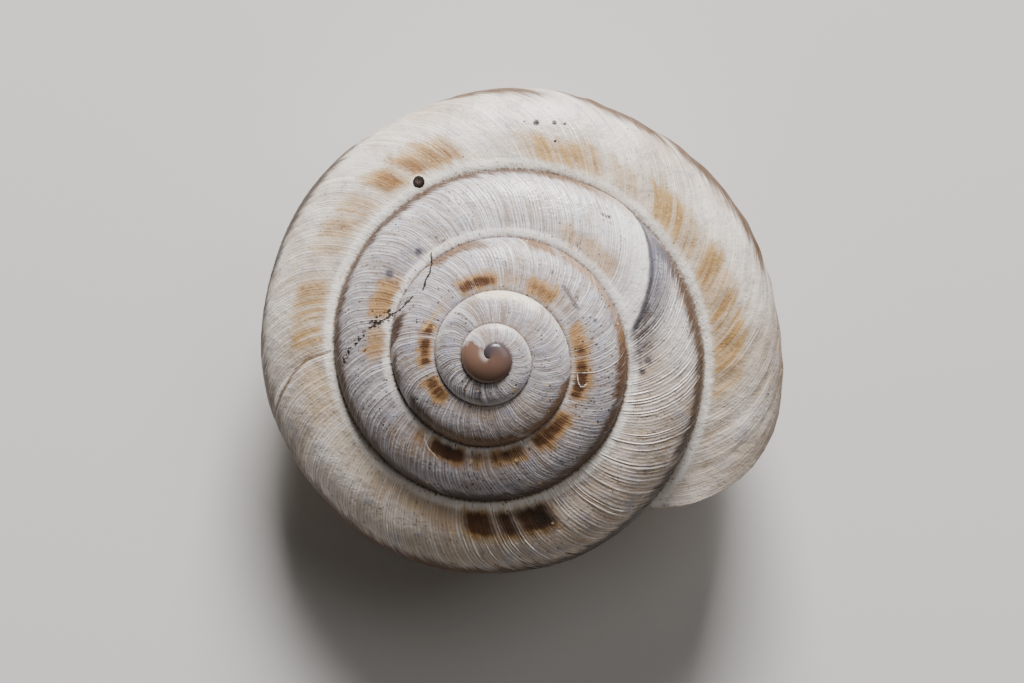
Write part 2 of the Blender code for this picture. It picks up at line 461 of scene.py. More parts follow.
for ring in range(HOLLOW_ROWS):
    for k in range(ring_size):
        add_face([ring_corner(ring, k), ring_corner(ring, k + 1),
                  ring_corner(ring + 1, k + 1), ring_corner(ring + 1, k)], INSIDE,
                 [(ring, k), (ring, k + 1), (ring + 1, k + 1), (ring + 1, k)])
for k in range(ring_size):
    growth, after = row_turns[last_row], (k + 1) % ring_size
    add_face([ring_corner(HOLLOW_ROWS, k), ring_corner(HOLLOW_ROWS, k + 1),
              (mouth[after], growth, ring_places[after]), (mouth[k], growth, ring_places[k])], INSIDE,
             [(HOLLOW_ROWS, k), (HOLLOW_ROWS, k + 1), (HOLLOW_ROWS + 1, k + 1), (HOLLOW_ROWS + 1, k)])
END_ROW = HOLLOW_ROWS + 8
END_BOW = 2.6
bow = END_BOW * np.sin(np.linspace(0, math.pi, ring_size))
add_face([ring_corner(0, k) for k in range(ring_size)][::-1], INSIDE,
         [(END_ROW + bow[k], k) for k in range(ring_size)][::-1])

# The dark band at the edge and the flecks below the suture, each where it lies on the coil. They
# are pigment in the lime. The net's corners hold their strengths, and the material draws them.
EDGE_BAND = (  # from turn, to turn, strength, inner edge, darkness, redness
    (2.71, 2.85, 0.70, 0.66, 0.20, 0.3), (2.86, 3.02, 1.00, 0.58, 0.35, 0.4),
    (3.02, 3.08, 1.00, 0.56, 0.62, 0.3), (3.115, 3.16, 0.90, 0.70, 0.56, 0.3),
    (3.18, 3.224, 0.95, 0.60, 0.72, 0.4), (3.315, 3.40, 0.75, 0.66, 0.42, 0.5),
    (3.456, 3.50, 0.80, 0.66, 0.35, 0.6), (3.50, 3.625, 0.55, 0.73, 0.10, 0.1),
    (3.62, 3.722, 0.90, 0.64, 0.45, 0.9), (3.722, 3.89, 1.00, 0.68, 0.52, 0.6),
    (3.885, 3.976, 1.00, 0.66, 0.88, 0.2), (3.976, 4.06, 0.75, 0.68, 0.66, 0.1),
    (4.05, 4.20, 1.00, 0.66, 0.60, 0.2), (4.20, 4.378, 1.00, 0.74, 0.66, 0.3),
    (4.37, 4.49, 1.00, 0.77, 0.60, 0.9), (4.484, 4.545, 0.95, 0.76, 0.12, 0.7),
    (4.567, 4.74, 0.82, 0.66, 0.62, 0.1), (4.74, 4.88, 1.00, 0.70, 0.88, 0.1),
    (4.87, 5.16, 1.00, 0.66, 0.50, 0.3), (5.16, 5.325, 1.00, 0.70, 0.88, 0.0),
    (5.325, 5.385, 0.30, 0.80, 0.50, 0.4), (5.385, 5.435, 0.90, 0.70, 0.55, 0.6),
    (5.456, 5.516, 0.95, 0.69, 0.50, 0.8), (5.526, 5.615, 0.90, 0.71, 0.55, 0.5),
    (5.64, 5.70, 0.35, 0.80, 0.30, 0.5))
FLECKS = (  # from turn, to turn, strength, inner edge, outer edge, darkness
    (2.90, 3.035, 0.35, 0.05, 0.18, 0.05), (3.045, 3.12, 0.98, 0.05, 0.26, 0.45),
    (3.145, 3.212, 0.98, 0.06, 0.23, 0.45), (3.215, 3.25, 0.95, 0.05, 0.20, 0.75),
    (3.25, 3.33, 0.35, 0.06, 0.20, 0.05), (3.34, 3.43, 0.95, 0.05, 0.22, 0.60),
    (3.43, 3.48, 0.40, 0.05, 0.18, 0.10), (3.485, 3.55, 0.98, 0.05, 0.23, 0.30),
    (3.605, 3.67, 0.95, 0.05, 0.20, 0.18), (3.665, 3.745, 0.98, 0.05, 0.23, 0.68),
    (3.745, 3.77, 0.50, 0.04, 0.18, 0.25), (3.768, 3.85, 0.98, 0.03, 0.22, 0.50),
    (3.862, 3.925, 0.85, 0.05, 0.21, 0.40), (3.925, 3.955, 0.65, 0.06, 0.21, 0.30),
    (3.96, 4.02, 1.00, 0.06, 0.25, 0.86), (4.022, 4.05, 0.60, 0.06, 0.20, 0.30),
    (4.16, 4.208, 0.70, 0.07, 0.23, 0.15), (4.214, 4.276, 0.85, 0.07, 0.26, 0.22),
    (4.30, 4.36, 0.30, 0.07, 0.16, 0.08), (4.49, 4.575, 0.60, 0.07, 0.22, 0.02),
    (4.60, 4.70, 0.25, 0.07, 0.30, 0.10), (4.862, 4.899, 1.00, 0.10, 0.30, 1.10),
    (4.898, 4.919, 0.95, 0.07, 0.27, 0.45), (4.918, 4.952, 0.95, 0.09, 0.33, 1.00),
    (4.95, 5.10, 0.42, 0.05, 0.22, 0.10), (5.10, 5.165, 0.55, 0.05, 0.26, 0.12),
    (5.165, 5.235, 0.72, 0.10, 0.31, 0.20), (5.25, 5.315, 0.62, 0.12, 0.32, 0.18),
    (5.318, 5.342, 1.00, 0.11, 0.30, 0.50), (5.343, 5.39, 1.00, 0.11, 0.31, 0.34),
    (5.435, 5.50, 0.85, 0.09, 0.23, 0.14), (5.50, 5.54, 0.55, 0.08, 0.24, 0.08),
    (5.538, 5.592, 0.90, 0.09, 0.28, 0.14), (5.596, 5.70, 0.88, 0.09, 0.31, 0.18),
    (5.70, 5.78, 0.25, 0.08, 0.20, 0.10))
BAND_PLACE, BAND_FADE = 0.85, 0.010
FLECK_PLACE, FLECK_FADE = 0.15, 0.015
MARK_REACH = 0.02


def along(growth, marks, place, fade):
    """For each growth turn, the nearest mark's values after its strength, which fades at its ends."""
    best = np.zeros_like(growth)
    values = [np.zeros_like(growth) for _ in marks[0][3:]]
    total = np.full_like(growth, 1e-6)
    for first, last, strength, *rest in marks:
        first, last = first + trail(first, place), last + trail(last, place)
        begun = ease(first - fade, first + fade, growth)
        ended = ease(last - fade, last + fade, growth)
        best = np.maximum(best, begun * (1 - ended) * strength)
        away = np.maximum(np.maximum(first - growth, growth - last), 0)
        near = np.exp(-(away / MARK_REACH) ** 2) + 1e-9
        total += near
        for k, value in enumerate(rest):
            values[k] += near * value
    return np.stack([best] + [value / total for value in values], axis=-1)


corner_growth, corner_place = np.array(corner_growth), np.array(corner_place)
corner_turn = corner_growth - trail(corner_growth, corner_place)
turn_steps = np.linspace(-0.3, 6.0, 2000)
arc = np.cumsum(2 * math.pi * edge_radius(turn_steps)[:-1] * np.diff(turn_steps))
arc = np.concatenate([[0], arc])


BULGE = 1.15


def across_mm(turn, place):
    """Rough width in mm from the suture to a place on the whorl."""
    inner = np.where(turn > 1, edge_radius(turn - 1), 0)
    return place * (edge_radius(turn) - inner) * BULGE


LEAN = math.radians(13.2)
LEAN_TOWARDS = math.radians(213.5)
SMOOTH_BELOW = math.radians(48)


def lay_down(points):
    """Leans the points as the shell lies and puts them where the CAD shell is."""
    axis = Vector((-math.sin(LEAN_TOWARDS), math.cos(LEAN_TOWARDS), 0))
    turned = points @ np.array(Matrix.Rotation(LEAN, 3, axis)).T * MM
    low, high = turned.min(axis=0), turned.max(axis=0)
    middle = (low + high) / 2
    return turned - np.array((middle[0], middle[1], low[2]))


mesh = bpy.data.meshes.new("shell_finish")
mesh.from_pydata(lay_down(points).tolist(), [], faces)
shell = bpy.data.objects.new("shell_finish", mesh)
bpy.context.scene.collection.objects.link(shell)
mesh.shade_smooth()
mesh.set_sharp_from_angle(angle=SMOOTH_BELOW)


def add_values(name, values):
    """Stores four values at each corner of the mesh, for the material to read."""
    attribute = mesh.attributes.new(name, "FLOAT_COLOR", "CORNER")
    attribute.data.foreach_set("color", np.ascontiguousarray(values, dtype=np.float32).ravel())


corner_points = points[np.array([k for f in faces for k in f])]
face_sizes = [len(f) for f in faces]
inside = np.repeat(face_kind, face_sizes)
lengths = np.interp(corner_growth, turn_steps, arc)
ribs = rib_height(corner_growth)
from_suture = across_mm(corner_turn, corner_place)
from_edge = across_mm(corner_turn, 1 - corner_place)
corner_past = past_scar(corner_turn, corner_place)
add_values("coil", np.stack([corner_turn, corner_place, corner_growth, inside], axis=-1))
add_values("growth", np.stack([lengths, from_suture, ribs, from_edge], axis=-1))
add_values("flat", np.concatenate([corner_points, corner_past[:, None]], axis=1))
add_values("band", along(corner_growth, EDGE_BAND, BAND_PLACE, BAND_FADE))
add_values("fleck", along(corner_growth, FLECKS, FLECK_PLACE, FLECK_FADE))

BAKE_SLOPE = 0.35
BAKE_REACH = 12.6
DISC = 0.245
MARGIN = 0.01
STRIP_WIDTH = 0.98
STRIP_HEIGHT = 0.46


def bake_map():
    """Lays every face once on a square: top and base as discs, the room and the lip as strips."""
    out = np.hypot(corner_points[:, 0], corner_points[:, 1])
    around = np.arctan2(corner_points[:, 1], corner_points[:, 0])
    _, bottom = below_edge(corner_turn, math.pi / 2)
    above = np.maximum(corner_points[:, 2] - bottom, 0) * (corner_place < 1.5)
    on_base = np.repeat(face_base, face_sizes)
    spread = np.where(on_base, out + BAKE_SLOPE * above, out - BAKE_SLOPE * corner_points[:, 2])
    u = 0.25 + 0.5 * on_base + spread * np.cos(around) * DISC / BAKE_REACH
    v = 0.75 + spread * np.sin(around) * DISC / BAKE_REACH
    order = np.concatenate(strip_order)
    u[inside == INSIDE] = MARGIN + STRIP_WIDTH * order[:, 1] / ring_size
    v[inside == INSIDE] = MARGIN + STRIP_HEIGHT * order[:, 0] / (HOLLOW_ROWS + 2)
    bake = mesh.uv_layers.new(name="OFBake")
    bake.data.foreach_set("uv", np.stack([u, v], axis=-1).astype(np.float32).ravel())


bake_map()


class Field:
    """A node's output that takes part in sums, each of which adds a Math node."""

    def __init__(self, look, socket):
        self.look, self.socket = look, socket

    def math(self, operation, *values):
        return self.look.node("ShaderNodeMath", {"operation": operation}, dict(enumerate(values)))

    def __add__(self, other):
        return self.math("ADD", self, other)

    def __sub__(self, other):
        return self.math("SUBTRACT", self, other)

    def __rsub__(self, other):
        return self.math("SUBTRACT", other, self)

    def __mul__(self, other):
        return self.math("MULTIPLY", self, other)

    def __truediv__(self, other):
        return self.math("DIVIDE", self, other)

    def __pow__(self, other):
        return self.math("POWER", self, other)

    __radd__, __rmul__ = __add__, __mul__

    def least(self, other):
        return self.math("MINIMUM", self, other)

    def most(self, other):
        return self.math("MAXIMUM", self, other)

    def size(self):
        return self.math("ABSOLUTE", self)

    def ease(self, low, high):
        """Smooth step from 0 at low to 1 at high, whichever of them is the larger."""
        rises = float(low < high)
        return self.look.node("ShaderNodeMapRange", {"interpolation_type": "SMOOTHSTEP"},
                              {"Value": self, "From Min": min(low, high), "From Max": max(low, high),
                               "To Min": 1 - rises, "To Max": rises})


class Look:
    """A material. Its node method adds any node: settings first, then sockets by name or number."""

    def __init__(self, name):
        self.material = bpy.data.materials.new(name)
        self.material.use_nodes = True
        self.nodes = self.material.node_tree.nodes
        self.links = self.material.node_tree.links
        self.nodes.clear()

    def node(self, kind, settings, sockets, output=0):
        node = self.nodes.new(kind)
        for name, value in settings.items():
            setattr(node, name, value)
        for name, value in sockets.items():
            if isinstance(value, Field):
                self.links.new(value.socket, node.inputs[name])
            else:
                node.inputs[name].default_value = value
        return None if output is None else Field(self, node.outputs[output])

    def attribute(self, name):
        """The four values of a corner attribute."""
        read = {"attribute_name": name}
        colour = self.node("ShaderNodeAttribute", read, {}, "Color")
        parts = [self.node("ShaderNodeSeparateColor", {}, {0: colour}, k) for k in range(3)]
        return parts + [self.node("ShaderNodeAttribute", read, {}, "Alpha")]

    def point(self, x, y, z=0.0):
        return self.node("ShaderNodeCombineXYZ", {}, {0: x, 1: y, 2: z})

    def noise(self, vector, scale, detail, roughness):
        sockets = {"Vector": vector, "Scale": scale, "Detail": detail, "Roughness": roughness}
        return self.node("ShaderNodeTexNoise", {}, sockets)

    def mix(self, first, second, share):
        """A colour between two colours; a tuple is a colour too."""
        first, second = [c if isinstance(c, Field) else (*c, 1) for c in (first, second)]
        return self.node("ShaderNodeMix", {"data_type": "RGBA", "clamp_factor": True},
                         {0: share, 6: first, 7: second}, 2)

    def finish(self, **sockets):
        """Ends the material in one shader, whose sockets are named with _ for a space."""
        sockets = {name.replace("_", " "): value for name, value in sockets.items()}
        shader = self.node("ShaderNodeBsdfPrincipled", {}, sockets)
        self.node("ShaderNodeOutputMaterial", {}, {0: shader}, None)
        return self.material


# What follows is the weathered lime of the shell. Each mark is a share from 0 to 1, worked out from
# where a place lies on the coil, and is painted over what came before it.
look = Look("weathered lime")
turn, place, growth, is_inside = look.attribute("coil")
length, across, rib, to_edge = look.attribute("growth")
flat_x, flat_y, flat_z, past = look.attribute("flat")
band, band_edge, band_dark, band_red = look.attribute("band")
fleck, fleck_from, fleck_to, fleck_dark = look.attribute("fleck")
on_top = place.ease(1.05, 0.98) * (1 - is_inside)
solid = look.point(flat_x, flat_y, flat_z)

streak = look.noise(look.point(length * 9, across * 0.9), 1.0, 3.0, 0.6)
hair = look.noise(look.point(length * 26, across * 1.6, 4.0), 1.0, 1.0, 0.6)
jag = look.noise(look.point(length * 5, across * 4, 9.0), 1.0, 2.0, 0.6)
soft_jag = look.noise(look.point(length * 2.2, across * 2.0, 3.0), 1.0, 2.0, 0.55)
cloud = look.noise(solid, 0.55, 2.0, 0.5)
blotch = look.noise(solid, 1.9, 2.0, 0.6)
grain = look.noise(solid, 14.0, 1.0, 0.6)


def on_coil(turn, place):
    """Where a place on the coil lies, seen along the shell's axis."""
    out, _ = section(turn, place)
    angle = START_ANGLE - 2 * math.pi * turn
    return float(out * math.cos(angle)), float(out * math.sin(angle))


def spot(turn, place, radius, core):
    """A round mark in mm, 1 within its core, which is a share of the radius, and 0 without."""
    x, y = on_coil(turn, place)
    away = ((flat_x - x) ** 2 + (flat_y - y) ** 2) ** 0.5 + (grain - 0.5) * radius * 0.25
    return away.ease(radius, radius * core) * on_top


def line(places, width, wobble=0.12):
    """A thin mark in mm through places on the coil."""
    nearest = None
    x, y = flat_x + (blotch - 0.5) * wobble * 2, flat_y + (grain - 0.5) * wobble
    corners = [on_coil(*place) for place in places]
    for (ax, ay), (bx, by) in zip(corners, corners[1:]):
        dx, dy = bx - ax, by - ay
        share = (((x - ax) * dx + (y - ay) * dy) / (dx * dx + dy * dy)).most(0.0).least(1.0)
        away = ((x - ax - share * dx) ** 2 + (y - ay - share * dy) ** 2) ** 0.5
        nearest = away if nearest is None else nearest.least(away)
    return nearest.ease(width, width * 0.4) * on_top


def grains(number, smallest, largest):
    """Scattered round grains: how many to a mm, and their radii as shares of the space each has."""
    away = look.node("ShaderNodeTexVoronoi", {}, {"Vector": solid, "Scale": number})
    cell_colour = Field(look, away.socket.node.outputs["Color"])
    draw = look.node("ShaderNodeSeparateColor", {}, {0: cell_colour})
    radius = draw * (largest - smallest) + smallest
    return (radius - away).ease(0.0, 0.06)


# Lime: pale ribs with blue-grey between them, lilac on the young whorls and cream on the last.
YOUNG_GROOVE, LAST_GROOVE = (0.235, 0.192, 0.182), (0.43, 0.35, 0.28)
YOUNG_RIB, LAST_RIB = (0.58, 0.55, 0.57), (0.78, 0.71, 0.64)
DUSK, TAN, PAINTED_WALL_LIGHT = (0.085, 0.060, 0.055), (0.34, 0.22, 0.12), (0.74, 0.69, 0.66)
BLUE_GREY, CREAM, DULL_BROWN = (0.26, 0.27, 0.36), (0.80, 0.74, 0.68), (0.30, 0.20, 0.12)
LIP_BROWN_AND_SHADE, CORD_WHITE = (0.20, 0.145, 0.105), (0.86, 0.81, 0.75)
age = turn.ease(4.1, 5.2)
lip = growth.ease(5.25, 5.7)
rib_tone = rib * 0.6 + ((streak - 0.5) * 1.6 + (hair - 0.5) * 1.2) * (1 - age * 0.45) + 0.22
rib_tone = rib_tone.ease(0.0, 1.0)
groove_colour = look.mix(YOUNG_GROOVE, LAST_GROOVE, age)
rib_colour = look.mix(YOUNG_RIB, LAST_RIB, age)
dusk = (turn + (blotch - 0.5) * 0.3).ease(1.78, 1.95)
dusk = dusk * (turn + (cloud - 0.5) * 0.5).ease(2.50, 2.20)
groove_colour = look.mix(groove_colour, DUSK, dusk * 0.85)
tanned = turn.ease(4.66, 4.72) * turn.ease(5.10, 4.90) * (cloud.ease(0.42, 0.6) * 0.5 + 0.4)
groove_colour = look.mix(groove_colour, TAN, tanned)
lime = look.mix(groove_colour, rib_colour, rib_tone)
# Painted light: the outer walls of the young whorls are lightened, so they look lit where they face
# away from the lamp.
lime = look.mix(lime, PAINTED_WALL_LIGHT, place.ease(0.45, 0.95) * turn.ease(3.2, 2.2) * 0.5)
lime = look.mix(lime, BLUE_GREY, blotch.ease(0.50, 0.74) * 0.5)
lime = look.mix(lime, CREAM, cloud.ease(0.46, 0.66) * 0.45 * age)
lime = look.mix(lime, DULL_BROWN, cloud.ease(0.52, 0.3) * (1 - rib_tone) * 0.55)
# Towards the lip and down its outer side the lime darkens: partly the lip's own brown, partly painted
# shade where the last whorl turns away from the lamp.
lip_edge_shade = growth.ease(5.60, 5.79) * place.ease(0.3, 0.95) * 0.75
lime = look.mix(lime, LIP_BROWN_AND_SHADE, (lip * soft_jag.ease(0.35, 0.62) * 0.18 + lip_edge_shade).least(0.9))
cord = (across - 0.14 - (jag - 0.5) * 0.06).size().ease(0.16, 0.04) * turn.ease(3.2, 4.4)
lime = look.mix(lime, CORD_WHITE, cord * 0.7)

# Flecks below the suture, broken along the growth lines: tan, with a brown heart or a black one.
YOUNG_FLECK_BROWN, LAST_FLECK_BROWN = (0.072, 0.027, 0.008), (0.19, 0.085, 0.027)
YOUNG_FLECK_TAN, LAST_FLECK_TAN = (0.36, 0.205, 0.085), (0.40, 0.242, 0.090)
FLECK_BLACK = (0.010, 0.0055, 0.0035)
stripe = look.noise(look.point(length * 3.8, across * 0.5, 7.0), 1.0, 1.0, 0.6)
ragged = (streak - 0.5) * 0.7 + (jag - 0.5) * 0.7
corner_cut = fleck.ease(0.75, 0.1) * 0.05
fleck_in = place - fleck_from - corner_cut - (soft_jag - 0.5) * 0.10 - (streak - 0.5) * 0.05
fleck_out = fleck_to + 0.045 - corner_cut - place + (soft_jag - 0.5) * 0.22 + (streak - 0.5) * 0.14
fleck_mask = (fleck + ragged * fleck.ease(0.0, 0.3) * 0.5).ease(0.05, 0.9)
fleck_mask = fleck_mask * fleck_in.ease(-0.055, 0.035) * fleck_out.ease(-0.06, 0.06)
tan_marks = fleck_dark.ease(0.5, 0.15) * age
fleck_mask = fleck_mask * (1 - tan_marks * stripe.ease(0.58, 0.42) * 0.45)
heart = (place - fleck_from).least(fleck_to - place).ease(-0.02, 0.07) * fleck.ease(0.35, 0.95)
brownness = fleck_dark * 1.35 * (heart * 0.75 + 0.25) + (stripe - 0.5) * 0.8 + (soft_jag - 0.5) * 0.5
fleck_brown = look.mix(YOUNG_FLECK_BROWN, LAST_FLECK_BROWN, age * turn.ease(5.0, 5.1))
fleck_tan = look.mix(YOUNG_FLECK_TAN, LAST_FLECK_TAN, age)
fleck_tone = look.mix(fleck_tan, fleck_brown, brownness.ease(0.05, 0.75))
fleck_tone = look.mix(fleck_tone, FLECK_BLACK, fleck_dark.ease(0.66, 1.0) * heart * 0.95)
lime = look.mix(lime, fleck_tone, fleck_mask * 0.97)

# The band at the edge, from tan to near black, broken in the same way.
BAND_TAN, BAND_BROWN = (0.26, 0.13, 0.04), (0.036, 0.016, 0.0065)
BAND_RED, BAND_BLACK = (0.055, 0.018, 0.008), (0.010, 0.0065, 0.0045)
band_in = (place - band_edge + (streak - 0.5) * 0.26 + (soft_jag - 0.5) * 0.22).ease(-0.08, 0.07)
band_out = (1.02 - place + (soft_jag - 0.5) * 0.12 + (streak - 0.5) * 0.05).ease(-0.03, 0.05)
band_mask = (band + ragged * band.ease(0.0, 0.3) * 0.7).ease(0.05, 0.85) * band_in * band_out
worn = rib_tone.ease(0.55, 1.0) * jag.ease(0.4, 0.65) * 0.35 * band_dark.ease(1.0, 0.7)
band_mask = band_mask * (1 - worn)
darkness = (band_dark * 1.2 + (streak - 0.5) * 0.6).ease(0.0, 0.9)
band_tone = look.mix(BAND_TAN, BAND_BROWN, darkness)
band_tone = look.mix(band_tone, BAND_RED, band_red * 0.45)
band_tone = look.mix(band_tone, BAND_BLACK, band_dark.ease(0.7, 1.0) * 0.9)
lime = look.mix(lime, band_tone, band_mask * 0.95)

# The healed break: a blue-grey line, partly painted shade on its step down; a painted highlight on
# the swell before it; and a grey, dirty strip after it, partly painted shadow of the swell.
PAINTED_SWELL_HIGHLIGHT, STRIP_GREY_AND_SHADOW = (0.80, 0.77, 0.74), (0.10, 0.10, 0.13)
STRIP_DIRT, BREAK_BLUE_AND_SHADE = (0.055, 0.036, 0.02), (0.025, 0.025, 0.04)
here = on_top * place.ease(0.0, 0.1)
before = past.ease(-0.06, -0.01) * past.ease(0.0, -0.004) * here
after = past.ease(-0.002, 0.004) * past.ease(0.055, 0.015) * here
on_break = (past + (jag - 0.5) * 0.006).size().ease(0.007, 0.0015) * here
# Painted highlight on the swell before the break.
lime = look.mix(lime, PAINTED_SWELL_HIGHLIGHT, before * 0.5)
# The grey strip after the break is partly painted shadow of the swell.
lime = look.mix(lime, STRIP_GREY_AND_SHADOW, after * (streak.ease(0.25, 0.6) * 0.55 + 0.35))
strip_dirt = (streak + jag).ease(0.85, 1.1) * place.ease(0.55, 0.15)
lime = look.mix(lime, STRIP_DIRT, after * strip_dirt * 0.85)
# The blue-grey line is partly painted shade on the step down.
lime = look.mix(lime, BREAK_BLUE_AND_SHADE, on_break * 0.8)

# Sutures, with ochre grains caught in them.
SUTURE_BROWN, OCHRE = (0.10, 0.05, 0.022), (0.38, 0.21, 0.075)
whorls_begun, whorls_covered = turn.ease(1.0, 1.2), turn.ease(4.8, 4.76)
seam = (across + (grain - 0.5) * 0.05).ease(0.06, 0.015) * whorls_begun
seam = seam.most((to_edge + (grain - 0.5) * 0.06).ease(0.05, 0.01) * whorls_covered) * on_top
lime = look.mix(lime, SUTURE_BROWN, seam * (jag.ease(0.3, 0.65) * 0.7 + 0.1))
near_seam = across.ease(0.25, 0.04) * whorls_begun
near_seam = near_seam.most(to_edge.ease(0.20, 0.03) * whorls_covered)
ochre = grains(9.5, -0.30, 0.46) * near_seam * on_top * soft_jag.ease(0.35, 0.55)
lime = look.mix(lime, OCHRE, ochre * 0.85)

# The smooth first whorl: brown, darkest at its tip, with a pale crescent by its suture.
TIP_BROWN, TIP_DARK, TIP_PALE = (0.158, 0.090, 0.064), (0.042, 0.034, 0.042), (0.40, 0.33, 0.31)
tip = (growth + (jag - 0.5) * 0.14 + place * 0.05).ease(TIP_END + 0.02, TIP_END - 0.01)
tip_colour = look.mix(TIP_BROWN, TIP_DARK, (turn + (1 - place) * 0.25).ease(1.05, 0.45))
crescent = (across - 0.05).size().ease(0.15, 0.02) * turn.ease(0.98, 1.1) * turn.ease(1.34, 1.22)
tip_colour = look.mix(tip_colour, TIP_PALE, crescent * 0.6)
lime = look.mix(lime, tip_colour, tip)

# Specks, dashes, bits and grit that lie in the grooves.
SPECK, DASH = (0.035, 0.022, 0.014), (0.05, 0.033, 0.02)
BIT, GRIT = (0.02, 0.014, 0.010), (0.60, 0.40, 0.20)
clean = 1 - tip
specks = grains(8.5, -0.25, 0.36) * (1 - rib).ease(0.1, 0.5) * cloud.ease(0.32, 0.5) * (1 - age * 0.5)
lime = look.mix(lime, SPECK, specks * clean * 0.85)
cells = look.point(length * 6.2, across * 4.6, 2.0)
dashes = look.node("ShaderNodeTexVoronoi", {}, {"Vector": cells, "Scale": 1.0}).ease(0.30, 0.18)
dashes = dashes * (1 - rib).ease(0.2, 0.6) * soft_jag.ease(0.44, 0.60) * turn.ease(2.8, 3.8)
lime = look.mix(lime, DASH, dashes * on_top * (0.8 - age * 0.45))
lime = look.mix(lime, BIT, grains(2.6, -0.16, 0.12) * clean * 0.9)
lime = look.mix(lime, GRIT, grains(2.7, -0.26, 0.20) * clean * 0.8)

# Two black cracks, the second one crumbling, the shine before the healed break, and a grey smear.
CRACK_BLACK, SHINE, SMEAR = (0.010, 0.006, 0.004), (0.76, 0.75, 0.77), (0.20, 0.195, 0.225)
black = line(((4.33, 0.07), (3.316, 0.70), (3.300, 0.57), (3.288, 0.50)), 0.042)
black = black.most(line(((3.268, 0.61), (3.24, 0.78), (4.226, 0.05), (4.202, 0.24)), 0.045))
crumbs = look.node("ShaderNodeTexVoronoi", {}, {"Vector": solid, "Scale": 9.0})
crumbs = (crumbs + (blotch - 0.5) * 0.4).ease(0.60, 0.40)
crumbled = line(((4.226, 0.06), (4.210, 0.19)), 0.28, 0.3)
crumbled = crumbled.most(line(((4.194, 0.27), (4.178, 0.46), (4.160, 0.66)), 0.15, 0.3))
lime = look.mix(lime, CRACK_BLACK, black.most(crumbled * crumbs) * 0.95)
shine = past.ease(-0.30, -0.12) * past.ease(0.0, -0.01) * on_top
lime = look.mix(lime, SHINE, shine * (1 - fleck_mask) * (1 - band_mask) * rib_tone * 0.6)
smear = line(((4.272, 0.27), (4.295, 0.22), (4.316, 0.17)), 0.42, 0.3)
lime = look.mix(lime, SMEAR, smear * (jag.ease(0.35, 0.65) * 0.4 + 0.15))

# Dots of dirt, and a round brown mark with a black rim in a pale patch. Each has its turn, place
# and radius.
BLACK_DOT, GREY_DOT = (0.004, 0.003, 0.0025), (0.045, 0.042, 0.056)
ROUND_PATCH, ROUND_RIM = (0.75, 0.66, 0.55), (0.007, 0.004, 0.003)
ROUND_MIDDLE = (0.026, 0.013, 0.008)
for dot in ((5.442, 0.37, 0.14), (5.454, 0.39, 0.11), (5.434, 0.37, 0.06), (5.461, 0.40, 0.06),
            (5.458, 0.24, 0.06)):
    lime = look.mix(lime, BLACK_DOT, spot(*dot, 0.5))
for dot in ((4.272, 0.25, 0.22), (4.316, 0.17, 0.20), (3.612, 0.42, 0.11), (3.514, 0.42, 0.10),
            (4.672, 0.17, 0.20), (4.684, 0.12, 0.16)):
    lime = look.mix(lime, GREY_DOT, spot(*dot, 0.3) * 0.8)
round_at = (5.348, 0.08)
lime = look.mix(lime, ROUND_PATCH, spot(*round_at, 0.30, 0.7) * 0.7)
lime = look.mix(lime, ROUND_RIM, spot(*round_at, 0.215, 0.9))
lime = look.mix(lime, ROUND_MIDDLE, spot(*round_at, 0.15, 0.5))

# A scrape, a web of fine pale lines, loose fibres and threads, and a chip by the break.
SCRAPE, WEB, FIBRE = (0.05, 0.04, 0.045), (0.78, 0.77, 0.78), (0.52, 0.33, 0.13)
THREAD, CHIP = (0.74, 0.66, 0.58), (0.06, 0.04, 0.02)
scrape = line(((3.542, 0.35), (3.556, 0.31), (3.582, 0.29)), 0.10)
lime = look.mix(lime, SCRAPE, scrape * (streak.ease(0.3, 0.6) * 0.4 + 0.35))
cells = look.point(length * 1.7, across * 2.6, 1.0)
to_line = {"feature": "DISTANCE_TO_EDGE"}
web = look.node("ShaderNodeTexVoronoi", to_line, {"Vector": cells, "Scale": 1.0})
web = (web + (grain - 0.5) * 0.08).ease(0.10, 0.01)
lime = look.mix(lime, WEB, web * spot(4.395, 0.26, 1.25, 0.2) * soft_jag.ease(0.38, 0.6) * 0.45)
lime = look.mix(lime, FIBRE, line(((3.284, 0.14), (3.258, 0.15), (3.23, 0.20)), 0.05, 0.1) * 0.7)
hooked = line(((3.700, 0.09), (3.708, 0.10), (3.715, 0.12), (3.719, 0.15), (3.717, 0.19),
               (3.711, 0.21)), 0.024, 0.03)
threads = line(((4.035, 0.06), (4.028, 0.14), (4.015, 0.21), (3.998, 0.26)), 0.024, 0.03)
threads = threads.most(hooked)
lime = look.mix(lime, THREAD, threads * 0.7)
lime = look.mix(lime, CHIP, line(((4.519, 0.52), (4.527, 0.55)), 0.06, 0.05) * 0.9)

# The brown crack across the last whorl, and a pale patch with a hairline on the young ones.
CRACK_BROWN, PATCH, HAIRLINE = (0.13, 0.07, 0.03), (0.72, 0.64, 0.52), (0.62, 0.40, 0.13)
crack = line(((5.17, 0.03), (5.162, 0.22), (5.15, 0.37), (5.138, 0.51), (5.128, 0.66)), 0.07, 0.05)
lime = look.mix(lime, CRACK_BROWN, crack * 0.75)
patch = line(((2.53, 0.75), (2.49, 0.85), (2.44, 0.85), (2.40, 0.90)), 0.24, 0.5)
lime = look.mix(lime, PATCH, patch * turn.ease(2.75, 2.7) * 0.75)
hairline = line(((2.40, 0.90), (2.42, 0.72), (2.47, 0.66), (2.50, 0.60)), 0.03, 0.2)
lime = look.mix(lime, HAIRLINE, hairline * 0.8)

